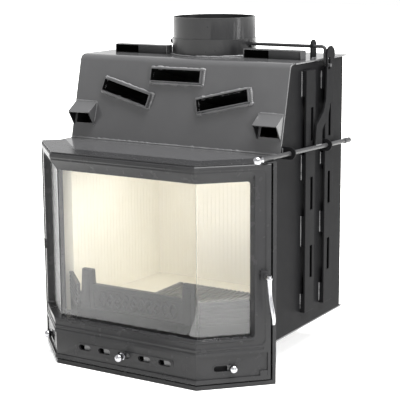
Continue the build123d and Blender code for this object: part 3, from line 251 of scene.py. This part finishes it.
def mixedTone(tree, factor, colour, other):
    # colour where the factor is 0, other where it is 1
    return addNode(tree, "ShaderNodeMix", {"data_type": "RGBA", 6: linear(colour), 7: linear(other)},
                   {0: factor}).outputs[2]


spray = {
    "mottleMm": 60, "mottleDetail": 4,      # patches where the coat is thinner
    "dryMm": 25, "drySwing": 0.06,          # patches of dry spray, and how far they turn the roughness
    "grainDetail": 2, "grainStrength": 0.35,
}


def stovePaint(name, colour, paler, grainMm, grainDepthMm, roughness, shine, index=1.5):
    # silicone stove paint, sprayed: matt, a faint mottle, and a fine dry grain that breaks the highlight
    material, tree = newMaterial(name)
    tone = mixedTone(tree, objectNoise(tree, spray["mottleMm"], spray["mottleDetail"]), colour, paler)
    bump = addNode(tree, "ShaderNodeBump",
                   {"Strength": spray["grainStrength"], "Distance": grainDepthMm * mm},
                   {"Height": objectNoise(tree, grainMm, spray["grainDetail"])})
    dry = addNode(tree, "ShaderNodeMapRange",
                  {"To Min": roughness - spray["drySwing"], "To Max": roughness + spray["drySwing"]},
                  {"Value": objectNoise(tree, spray["dryMm"])})
    paint = addNode(tree, "ShaderNodeBsdfPrincipled", {"IOR": index, "Specular IOR Level": shine},
                    {"Base Color": tone, "Roughness": dry.outputs["Result"], "Normal": bump.outputs[0]})
    finishMaterial(tree, paint.outputs[0])
    return material


def polishedChrome(colour, roughness, swing, wipeMm):
    # chromium plate, polished: grey mirror whose roughness drifts a little, as wiping leaves it
    material, tree = newMaterial("polished chrome")
    drift = addNode(tree, "ShaderNodeMapRange",
                    {"To Min": roughness * (1 - swing), "To Max": roughness * (1 + swing)},
                    {"Value": objectNoise(tree, wipeMm)})
    metal = addNode(tree, "ShaderNodeBsdfPrincipled", {"Base Color": linear(colour), "Metallic": 1.0},
                    {"Roughness": drift.outputs["Result"]})
    finishMaterial(tree, metal.outputs[0])
    return material


vermiculite = {"tone": "#dad4c2", "paler": "#e2ddcf", "patchMm": 30, "patchDetail": 5,
               "flakeMm": 2.5, "flakeDetail": 2, "flakeDepth": 0.4 * mm, "flakeStrength": 0.25,
               "roughness": 0.9, "shine": 0.2}


def vermiculiteBoard():
    # pressed vermiculite: cream, chalky, with tiny flakes of mica
    material, tree = newMaterial("vermiculite board")
    bump = addNode(tree, "ShaderNodeBump",
                   {"Strength": vermiculite["flakeStrength"], "Distance": vermiculite["flakeDepth"]},
                   {"Height": objectNoise(tree, vermiculite["flakeMm"], vermiculite["flakeDetail"])})
    patches = objectNoise(tree, vermiculite["patchMm"], vermiculite["patchDetail"])
    board = addNode(tree, "ShaderNodeBsdfPrincipled",
                    {"Roughness": vermiculite["roughness"], "Specular IOR Level": vermiculite["shine"]},
                    {"Base Color": mixedTone(tree, patches, vermiculite["tone"], vermiculite["paler"]),
                     "Normal": bump.outputs[0]})
    finishMaterial(tree, board.outputs[0])
    return material


pane = {"clear": "#ffffff", "shadow": "#f7f7f4", "index": 1.5, "hazeRoughness": 0.4}


def ceramicGlass(name, haze):
    # clear glass ceramic, 4 mm: polished; a haze of ash whitens it when it is seen at a flat angle
    material, tree = newMaterial(name)
    glass = addNode(tree, "ShaderNodeBsdfPrincipled",
                    {"Base Color": linear(pane["clear"]), "Roughness": 0.0, "IOR": pane["index"],
                     "Transmission Weight": 1.0, "Coat Weight": haze,
                     "Coat Roughness": pane["hazeRoughness"]})
    clear = addNode(tree, "ShaderNodeBsdfTransparent", {"Color": linear(pane["shadow"])})
    path = addNode(tree, "ShaderNodeLightPath")
    mix = addNode(tree, "ShaderNodeMixShader",
                  links={0: path.outputs["Is Shadow Ray"], 1: glass.outputs[0], 2: clear.outputs[0]})
    finishMaterial(tree, mix.outputs[0])
    return material


yarn = {"tone": "#242424", "paler": "#4a4a48", "fibreMm": 1.2, "fibreDetail": 2,
        "roughness": 0.85, "sheen": 0.2}


def glassRope():
    # knitted glass-fibre rope, black: matt yarn with a soft sheen
    material, tree = newMaterial("glass-fibre rope")
    fibres = objectNoise(tree, yarn["fibreMm"], yarn["fibreDetail"])
    rope = addNode(tree, "ShaderNodeBsdfPrincipled",
                   {"Roughness": yarn["roughness"], "Sheen Weight": yarn["sheen"]},
                   {"Base Color": mixedTone(tree, fibres, yarn["tone"], yarn["paler"])})
    finishMaterial(tree, rope.outputs[0])
    return material


# each paint: name, colour, paler mottle, grain and its depth in mm, roughness, shine and, if low, its index
# rolled sheet under satin paint: smooth, mid grey, with soft bands of sky
sheetPaint = stovePaint("stove paint on sheet", "#434344", "#4b4b4c", 1.6, 0.04, 0.18, 0.5)
# the same paint on the walls, darkened nearly to black as painted shade: no highlight
shadedWallPaint = stovePaint("stove paint on the side walls", "#131314", "#1a1a1b", 1.6, 0.10, 0.45, 0.1, 1.2)
# sand-cast surface under paint: darker than the sheet paint as painted shade, its grain coarser than that of
# sheet
shadedCastPaint = stovePaint("stove paint on cast iron", "#272728", "#2e2e2f", 2.0, 0.08, 0.26, 0.15)
# the sill's iron, painted near black as the shade in its recess
sillShadeBlack = stovePaint("cast iron of the sill, black as painted shade", "#060607", "#0c0c0d", 1.6, 0.2, 0.5, 0.06)
# rolled tube under paint: darker than the sheet paint as painted shade, with one upright highlight
shadedCollarPaint = stovePaint("stove paint on the collar", "#1c1c1d", "#232324", 1.6, 0.07, 0.3, 0.36)
# cast iron that stands in the fire: dull black with a coarse skin
fireIron = stovePaint("bare cast iron of the fire", "#0d0d0e", "#151516", 1.6, 0.2, 0.4, 0.2)
# cold-rolled steel, unpainted: pale grey, satin
sliderSteel = stovePaint("bare steel of the sliders", "#5a5a5b", "#666667", 1.2, 0.05, 0.35, 0.5)
# cast iron that ash has paled: warm mid grey, coarse
grateIron = stovePaint("burnt cast iron of the grate", "#52514e", "#5e5d5a", 1.6, 0.25, 0.5, 0.4)
# the same paint, paler on the beads as a painted highlight
highlightedWeldPaint = stovePaint("stove paint on weld metal", "#545455", "#606061", 1.0, 0.08, 0.3, 0.6)
# turned steel, oiled black: dark, with a dull shine
darkSteel = stovePaint("blackened steel", "#2c2c2d", "#353536", 1.2, 0.08, 0.4, 0.3)
# inside of the tubes: black and flat, as painted shade
tubeShadeBlack = stovePaint("tube inside, black as painted shade", "#060606", "#0a0a0a", 3, 0.2, 0.9, 0.05)
chrome = polishedChrome("#a6a6a9", 0.14, 0.3, 12)
glass = ceramicGlass("glass ceramic", 0.0)
hazedGlass = ceramicGlass("glass ceramic with ash haze", 1.0)

bySlot = {"painted_steel": sheetPaint, "cast_iron": shadedCastPaint, "chrome": chrome, "bare_steel": darkSteel,
          "ceramic_glass": glass, "fire_brick": vermiculiteBoard(), "seal_rope": glassRope()}
byNode = [
    (fireIron, ("log_retainer", "retainer_wing_left", "retainer_wing_right")),
    (sliderSteel, ("air_slider_centre", "air_slider_left", "air_slider_right")),
    (sillShadeBlack, ("front_sill",)),
    (shadedWallPaint, ("casing_shell", "damper_post", "yoke_arm", "rod_guide_front", "rod_guide_rear",
                 "side_channel_front_left", "side_channel_front_right", "side_channel_rear_left",
                 "side_channel_rear_right")),
    (grateIron, ("cast_floor",)),
    (shadedCollarPaint, ("flue_collar",)),
    (hazedGlass, ("glass_side_left",)),
]
slotOf = {part["node"]: part["material_slot"] for part in frame["record"]["subparts"]}
bodyOf = {name: body for body, names in frame["record"]["behaviour"]["bodies"].items() for name in names}
finishOf = {nodeName: bySlot[slot] for nodeName, slot in slotOf.items()}
for material, nodeNames in byNode:
    finishOf.update(dict.fromkeys(nodeNames, material))
for nodeName, node in frame["nodes"].items():
    node.data.materials.clear()
    node.data.materials.append(finishOf[nodeName])
print("materials are on the model")

finishes = {
    # node: radius of the rounded edges in mm, and the darker material its inside takes as painted shade,
    # where that differs
    "front_frame": (1.2, None), "door_casting": (0.8, None), "hood": (1.0, None), "top_cover": (0.8, None),
    "flue_collar": (0.8, None), "heat_tube_centre": (0.8, tubeShadeBlack), "heat_tube_left": (0.8, tubeShadeBlack),
    "heat_tube_right": (0.8, tubeShadeBlack), "top_outlet_left": (0.5, tubeShadeBlack), "top_outlet_right": (0.5, tubeShadeBlack),
    "corner_outlet_left": (0.5, shadedWallPaint), "corner_outlet_right": (0.5, shadedWallPaint),
    "casing_shell": (0.6, None), "side_channel_front_left": (1.2, None),
    "side_channel_front_right": (1.2, None), "side_channel_rear_left": (1.2, None),
    "side_channel_rear_right": (1.2, None), "log_retainer": (0.8, None), "cast_floor": (0.6, None),
    "front_sill": (1.2, None), "retainer_wing_left": (0.8, None), "retainer_wing_right": (0.8, None),
    "damper_post": (0.5, None), "yoke_arm": (0.5, None), "rod_guide_front": (0.5, None),
    "rod_guide_rear": (0.5, None), "ash_box": (0.6, None), "ash_drawer": (0.6, None),
    "base_plate": (0.6, None), "push_rod": (0.4, None), "rod_sleeve": (0.6, None), "shaft_nut": (0.4, None),
    "damper_shaft": (0, None), "rod_knob": (0, None), "slider_knob_centre": (0, None),
    "slider_knob_left": (0, None), "slider_knob_right": (0, None), "handle_lever": (0, None),
}
edges = {
    "merge": 0.001 * mm,                # points nearer than this are one
    "flat": math.radians(0.5),          # faces that turn less than this are one
    "sharp": math.radians(32),          # edges sharper than this are edges, the others are rounds
    "segments": 2,
    "lookFrom": 0.1 * mm,               # how far off a face the look at its opposite wall starts
}
# the wings are drawn on to the side linings: side, the place where their far end starts, and how much
wingReach = {"retainer_wing_left": -1, "retainer_wing_right": 1, "fromY": -0.290, "longer": 12 * mm}


def lengthenWing(mesh, side):
    # every point beyond the start moves along the side panel's direction, which runs out and back alike
    places = np.empty(len(mesh.vertices) * 3)
    mesh.vertices.foreach_get("co", places)
    places = places.reshape(-1, 3)
    along = np.array((side, 1, 0)) * math.sqrt(0.5)
    places[places[:, 1] > wingReach["fromY"]] += along * wingReach["longer"]
    mesh.vertices.foreach_set("co", places.ravel())


def markShadedInside(work):
    # a face that looks at another wall of its own piece is inside it, and takes the painted shade
    walls = BVHTree.FromBMesh(work)
    for wall in work.faces:
        start = wall.calc_center_median() + wall.normal * edges["lookFrom"]
        if walls.ray_cast(start, wall.normal)[0] is not None:
            wall.material_index = 1


def finishPiece(nodeName, radiusMm, inside):
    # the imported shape, merged, with smooth rounds, and its edges rounded where it has a radius
    mesh = frame["nodes"][nodeName].data.copy()
    work = bmesh.new()
    work.from_mesh(mesh)
    bmesh.ops.remove_doubles(work, verts=work.verts, dist=edges["merge"])
    bmesh.ops.dissolve_limit(work, angle_limit=edges["flat"], verts=work.verts, edges=work.edges)
    # faces inside the piece get the second material, a darker paint that stands for shade
    if inside:
        markShadedInside(work)
    work.to_mesh(mesh)
    work.free()
    if nodeName in wingReach:
        lengthenWing(mesh, wingReach[nodeName])
    if inside:
        mesh.materials.append(inside)
    mesh.polygons.foreach_set("use_smooth", np.ones(len(mesh.polygons), bool))
    mesh.set_sharp_from_angle(angle=edges["sharp"])
    piece = bpy.data.objects.new(nodeName + "_finished", mesh)
    bpy.context.scene.collection.objects.link(piece)
    if radiusMm:
        bevel = piece.modifiers.new("rounded edges", "BEVEL")
        bevel.width = radiusMm * mm
        bevel.segments = edges["segments"]
        bevel.limit_method = "ANGLE"
        bevel.angle_limit = edges["sharp"]
        bevel.use_clamp_overlap = True
        bevel.harden_normals = True
    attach(piece, bodyOf[nodeName])
    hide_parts(nodeName)


for nodeName, (radiusMm, inside) in finishes.items():
    finishPiece(nodeName, radiusMm, inside)
print("edges are rounded")


def evenRoute(points, stepMm, closed=False):
    # the polyline through the points, cut into even steps, and how far along it each one is
    points = np.array(points, float)
    if closed:
        points = np.vstack([points, points[:1]])
    along = np.concatenate([[0], np.cumsum(np.linalg.norm(np.diff(points, axis=0), axis=1))])
    count = max(4, int(along[-1] / (stepMm * mm)))
    at = np.linspace(0, along[-1], count, endpoint=not closed)
    return np.stack([np.interp(at, along, points[:, k]) for k in range(3)], axis=1), at


def softened(route, reach):
    # a running mean over reach steps each way, which rounds the corners of a closed route
    kernel = np.ones(2 * reach + 1) / (2 * reach + 1)
    padded = np.pad(route, ((reach, reach), (0, 0)), mode="wrap")
    return np.stack([np.convolve(padded[:, k], kernel, mode="valid") for k in range(3)], axis=1)


def tubeGrid(route, out, wide, deep, sides, closed=False):
    # rings round a route: wide is the radius across, deep the one along the direction out
    ahead = np.roll(route, -1, 0) - np.roll(route, 1, 0) if closed else np.gradient(route, axis=0)
    ahead /= np.linalg.norm(ahead, axis=1)[:, None]
    across = np.cross(ahead, out)
    across /= np.linalg.norm(across, axis=1)[:, None]
    outward = np.cross(across, ahead)
    turn = np.linspace(0, 2 * np.pi, sides, endpoint=False)[None, :, None]
    wide, deep = (np.reshape(radius, (len(route), -1, 1)) for radius in (wide, deep))
    return (route[:, None] + np.cos(turn) * across[:, None] * wide
            + np.sin(turn) * outward[:, None] * deep)


def gridFaces(rings, sides, start, closed):
    # quads between the rings, and a cap on each end of an open run
    last = rings if closed else rings - 1
    i, j = np.meshgrid(np.arange(last), np.arange(sides), indexing="ij")
    nextRing, nextSide = (i + 1) % rings, (j + 1) % sides
    quads = np.stack([i * sides + j, i * sides + nextSide,
                      nextRing * sides + nextSide, nextRing * sides + j], -1)
    faces = (quads.reshape(-1, 4) + start).tolist()
    if not closed:
        faces.append((start + np.arange(sides)[::-1]).tolist())
        faces.append((start + (rings - 1) * sides + np.arange(sides)).tolist())
    return faces


def meshPiece(name, grids, material, body, closed):
    # one piece from several tube grids, its faces turned outwards
    points, faces, start = [], [], 0
    for grid in grids:
        rings, sides = grid.shape[:2]
        points.append(grid.reshape(-1, 3))
        faces += gridFaces(rings, sides, start, closed)
        start += rings * sides
    mesh = bpy.data.meshes.new(name)
    mesh.from_pydata(np.vstack(points).tolist(), [], faces)
    work = bmesh.new()
    work.from_mesh(mesh)
    bmesh.ops.recalc_face_normals(work, faces=work.faces)
    work.to_mesh(mesh)
    work.free()
    mesh.materials.append(material)
    mesh.polygons.foreach_set("use_smooth", np.ones(len(mesh.polygons), bool))
    piece = bpy.data.objects.new(name, mesh)
    bpy.context.scene.collection.objects.link(piece)
    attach(piece, body)
    return piece


bead = {
    "step": 0.9, "sides": 10,               # mm between rings, and the corners of a ring
    "ripple": 4.2, "rippleDepth": 0.14,     # mm from drop to drop, and how much each swells
    "wander": 0.22, "wanderEvery": 8,       # how much the radius drifts, and rings between its draws
    "fade": 12,                             # rings over which a closed bead's drift dies out at its seam
    "tip": 0.15,                            # how thin an open bead runs out, before its root is taken
    "least": 0.1, "most": 1.5,              # bounds of the radius, in shares
    "flat": 0.8,                            # height over width
}


def weldRun(points, radiusMm, out, closed=False, seed=1):
    # a half-sunk round: its radius, in shares, is 1 + a cosine for each drop + a slow random drift
    route, at = evenRoute(np.array(points) * mm, bead["step"], closed)
    count = len(route)
    drawn = max(3, count // bead["wanderEvery"])
    slow = np.interp(np.linspace(0, 1, count), np.linspace(0, 1, drawn),
                     np.random.default_rng(seed).normal(0, 1, drawn))
    ring = np.arange(count)
    if closed:
        slow *= np.minimum(1, np.minimum(ring, ring[::-1]) / bead["fade"])
    ripple = np.cos(2 * np.pi * at / (bead["ripple"] * mm))
    swell = 1 + bead["rippleDepth"] * ripple + bead["wander"] * slow
    if not closed:
        swell *= np.clip(np.minimum(at, at[-1] - at) / (radiusMm * mm), bead["tip"], 1) ** 0.5
    radius = radiusMm * mm * np.clip(swell, bead["least"], bead["most"])
    return tubeGrid(route, np.array(out, float), radius, radius * bead["flat"], bead["sides"], closed)


hood = {
    # mm, as the model has it
    "footY": -200, "footZ": 500, "slope": math.atan2(48, 198),
    "mouthHalf": (70.8, 17.9),
    "mouths": {
        # x, height up the slope, and turn in degrees
        "centre": (-3.0, 161.8, 0.0), "right": (129.0, 111.0, 13.5), "left": (-137.0, 116.0, -14.0),
    },
}
hoodOut = (0, -math.cos(hood["slope"]), math.sin(hood["slope"]))


def onHood(x, up):
    # place on the hood's sloped front, up its height from the foot, in mm
    return np.array([x, hood["footY"] + up * math.sin(hood["slope"]),
                     hood["footZ"] + up * math.cos(hood["slope"])])


def mouthOutline(x, up, turn):
    # the four corners of a tube's mouth, turned in the plane of the slope
    turn = math.radians(turn)
    corners = []
    for across, rise in ((-1, -1), (1, -1), (1, 1), (-1, 1)):
        u, v = across * hood["mouthHalf"][0], rise * hood["mouthHalf"][1]
        corners.append(onHood(x + u * math.cos(turn) - v * math.sin(turn),
                              up + u * math.sin(turn) + v * math.cos(turn)))
    return corners


welds = {
    # mm; each bead's own radius goes with it
    "collar": {"points": 180, "radius": 102.3, "z": 698.8, "bead": 3.0},
    "mouth": {"bead": 4.2},
    "hoodFoot": {"half": 286, "y": -200.4, "z": 501.2, "bead": 2.6},
    "outlet": {"inner": 224, "outer": 284, "top": 90.5, "topBead": 1.8,
               "low": 31, "proud": -1, "sideTop": (222.6, 90), "sideBead": 1.5},
    "channels": {
        "x": 287.3, "bead": 1.9,
        "edges": {
            # y of a channel's edge: the bottom and top of each bead on it
            -98: ((619, 677), (428, 486), (273, 344), (124, 160)),
            -52: ((600, 660), (410, 470), (250, 310), (130, 170)),
            0: ((628, 670), (451, 480), (288, 339), (120, 165)),
            44: ((610, 655), (430, 475), (270, 320), (130, 165)),
        },
    },
    "guides": {"x": 287.4, "halfThick": 2, "spans": {-187: (494, 515), -4: (487, 509)}, "bead": 1.4},
    "post": {"x": 266, "halfThick": 2, "half": 12, "z": 698.4, "bead": 1.6},
    "arm": {"x": 305, "halfThick": 2, "front": (-64, 505.2), "rear": (-34, 504.2), "bead": 1.5},
}


def ringWelds():
    # closed beads: round the foot of the collar and round each tube's mouth
    line = welds["collar"]
    circle = np.linspace(0, 2 * np.pi, line["points"], endpoint=False)
    foot = np.stack([line["radius"] * np.cos(circle), line["radius"] * np.sin(circle),
                     np.full_like(circle, line["z"])], axis=1)
    runs = [weldRun(foot, line["bead"], (0, 0, 1), closed=True, seed=2)]
    for seed, place in enumerate(hood["mouths"].values(), 5):
        runs.append(weldRun(mouthOutline(*place), welds["mouth"]["bead"], hoodOut, closed=True, seed=seed))
    meshPiece("hood_ring_welds", runs, highlightedWeldPaint, "root", True)


def bodyWelds():
    # open beads: the hood's foot, the corner outlets, the channels' edges, the rod's guides and the post
    line = welds["hoodFoot"]
    runs = [weldRun([(side * line["half"], line["y"], line["z"]) for side in (-1, 1)], line["bead"],
                    (0, -1, 1), seed=9)]
    line = welds["outlet"]
    for side in (-1, 1):
        top = [onHood(side * x, line["top"]) for x in (line["inner"], line["outer"])]
        runs.append(weldRun(top, line["topBead"], hoodOut, seed=11 + side))
        low = onHood(side * line["inner"], line["low"]) + np.array([0, line["proud"], 0])
        high = onHood(side * line["sideTop"][0], line["sideTop"][1])
        runs.append(weldRun([low, high], line["sideBead"], hoodOut, seed=14 + side))
    line = welds["channels"]
    for y, spans in line["edges"].items():
        for low, high in spans:
            for side in (-1, 1):
                ends = [(side * line["x"], y, z) for z in (low, high)]
                runs.append(weldRun(ends, line["bead"], (side, 0, 0), seed=low + side))
    line = welds["guides"]
    for place, (low, high) in line["spans"].items():
        for y in (place - line["halfThick"], place + line["halfThick"]):
            ends = [(line["x"], y, z) for z in (low, high)]
            runs.append(weldRun(ends, line["bead"], (1, 0, 0), seed=-y))
    line = welds["post"]
    for x in (line["x"] - line["halfThick"], line["x"] + line["halfThick"]):
        ends = [(x, side * line["half"], line["z"]) for side in (-1, 1)]
        runs.append(weldRun(ends, line["bead"], (0, 0, 1), seed=x))
    meshPiece("body_welds", runs, highlightedWeldPaint, "root", False)


def rodWelds():
    # the slotted arm's foot on the push rod, a bead on each side
    line = welds["arm"]
    runs = []
    for x in (line["x"] - line["halfThick"], line["x"] + line["halfThick"]):
        runs.append(weldRun([(x, *line["front"]), (x, *line["rear"])], line["bead"], (0, 0, 1), seed=x + 3))
    meshPiece("rod_welds", runs, highlightedWeldPaint, "rod", False)


ringWelds()
bodyWelds()
rodWelds()
print("welds are laid")

# the folded front, in mm as the casting has it: n stands out from the panels, s runs along a side panel
front = {"foldHalf": 191, "turn": math.radians(45), "cornerY": -275, "panel": 181.5}
ropeSeal = {
    "s": 137.25, "n": -15.5, "low": 88.5, "high": 487.5,    # mm, the middle of the rope
    "wide": 2.75, "deep": 4.1,                              # mm, its radii across and along n
    "stitch": 3.2, "yarns": 6, "swell": 0.09,               # mm between stitches
    "level": 1.2,                                           # the crossed sines' mean, near enough
    "step": 1.0, "corner": 7, "turnOver": 6,                # mm between rings, and rings that round a corner
    "atFold": 0.995,                                        # share of the fold's x where a side begins
    "sides": 14,
}


def panelPoint(side, s, n, z):
    # plan place on a side panel: side is -1 on the left, 1 on the right, in mm
    slant = math.sqrt(0.5)
    y = front["cornerY"] - front["panel"] * math.sin(front["turn"])
    return (side * (front["foldHalf"] + (s + n) * slant), y + (s - n) * slant, z)


def makeRope():
    # knitted rope: a closed tube whose radius swells in two crossed helices, the lie of the yarns
    n, s = ropeSeal["n"], ropeSeal["s"]
    fold = front["foldHalf"] + n * math.tan(front["turn"] / 2)
    y = front["cornerY"] - front["panel"] * math.sin(front["turn"]) - n
    loop = []
    for z, (first, last) in ((ropeSeal["low"], (-1, 1)), (ropeSeal["high"], (1, -1))):
        loop += [panelPoint(first, s, n, z), (first * fold, y, z),
                 (last * fold, y, z), panelPoint(last, s, n, z)]
    route, at = evenRoute(np.array(loop) * mm, ropeSeal["step"], True)
    route = softened(route, ropeSeal["corner"])
    across = np.clip(route[:, 0] / (fold * mm), -1, 1)
    lean = np.where(np.abs(across) > ropeSeal["atFold"], np.sign(across) * front["turn"], 0)
    out = np.stack([np.sin(lean), -np.cos(lean), np.zeros(len(route))], axis=1)
    out = softened(out, ropeSeal["turnOver"])
    turn = np.linspace(0, 2 * np.pi, ropeSeal["sides"], endpoint=False)[None]
    stitch = 2 * np.pi * at[:, None] / (ropeSeal["stitch"] * mm)
    helix = ropeSeal["yarns"] / 2 * turn
    swell = 1 + ropeSeal["swell"] * (np.abs(np.sin(stitch + helix)) + np.abs(np.sin(stitch - helix))
                                     - ropeSeal["level"])
    grid = tubeGrid(route, out, ropeSeal["wide"] * mm * swell, ropeSeal["deep"] * mm * swell,
                    ropeSeal["sides"], True)
    piece = meshPiece("rope_seal_knitted", [grid], bySlot["seal_rope"], "door", True)
    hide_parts("rope_seal")


makeRope()
print("rope seal is laid")

relief = {
    "y": -346.5, "z": 153.5,                    # mm, the face and the middle height of the retainer's rail
    "rise": 15.0, "wave": 43.2, "waves": 5,     # mm, how the strands swing
    "strand": 3.8, "strandFlat": 0.8, "strandRings": 260, "strandSides": 10,
    "stud": 5.5, "studHeight": 0.6, "studTop": 0.04, "studRings": 7, "studSides": 16,
}


def makeRelief():
    # cast ornament on the retainer's rail: two strands that cross in even waves, with a stud in each eye
    half = relief["wave"] * relief["waves"] / 2
    x = np.linspace(-half, half, relief["strandRings"])
    wide = np.full(len(x), relief["strand"] * mm)
    grids = []
    for sign in (-1, 1):
        z = relief["z"] + sign * relief["rise"] * np.sin(2 * np.pi * (x + half) / relief["wave"])
        route = np.stack([x, np.full_like(x, relief["y"]), z], axis=1) * mm
        grids.append(tubeGrid(route, np.array((0.0, -1.0, 0.0)), wide, wide * relief["strandFlat"],
                              relief["strandSides"]))
    dome = np.linspace(0, np.pi / 2, relief["studRings"])       # rings shrink as a cosine, rise as a sine
    radius = relief["stud"] * mm * np.maximum(np.cos(dome), relief["studTop"])
    y = relief["y"] - relief["stud"] * relief["studHeight"] * np.sin(dome)
    for k in range(2 * relief["waves"]):
        eye = -half + (k + 0.5) * relief["wave"] / 2
        route = np.stack([np.full_like(y, eye), y, np.full_like(y, relief["z"])], axis=1) * mm
        grids.append(tubeGrid(route, np.array((0.0, 0.0, 1.0)), radius, radius, relief["studSides"]))
    meshPiece("retainer_relief", grids, fireIron, "root", False)


makeRelief()
print("relief is cast")
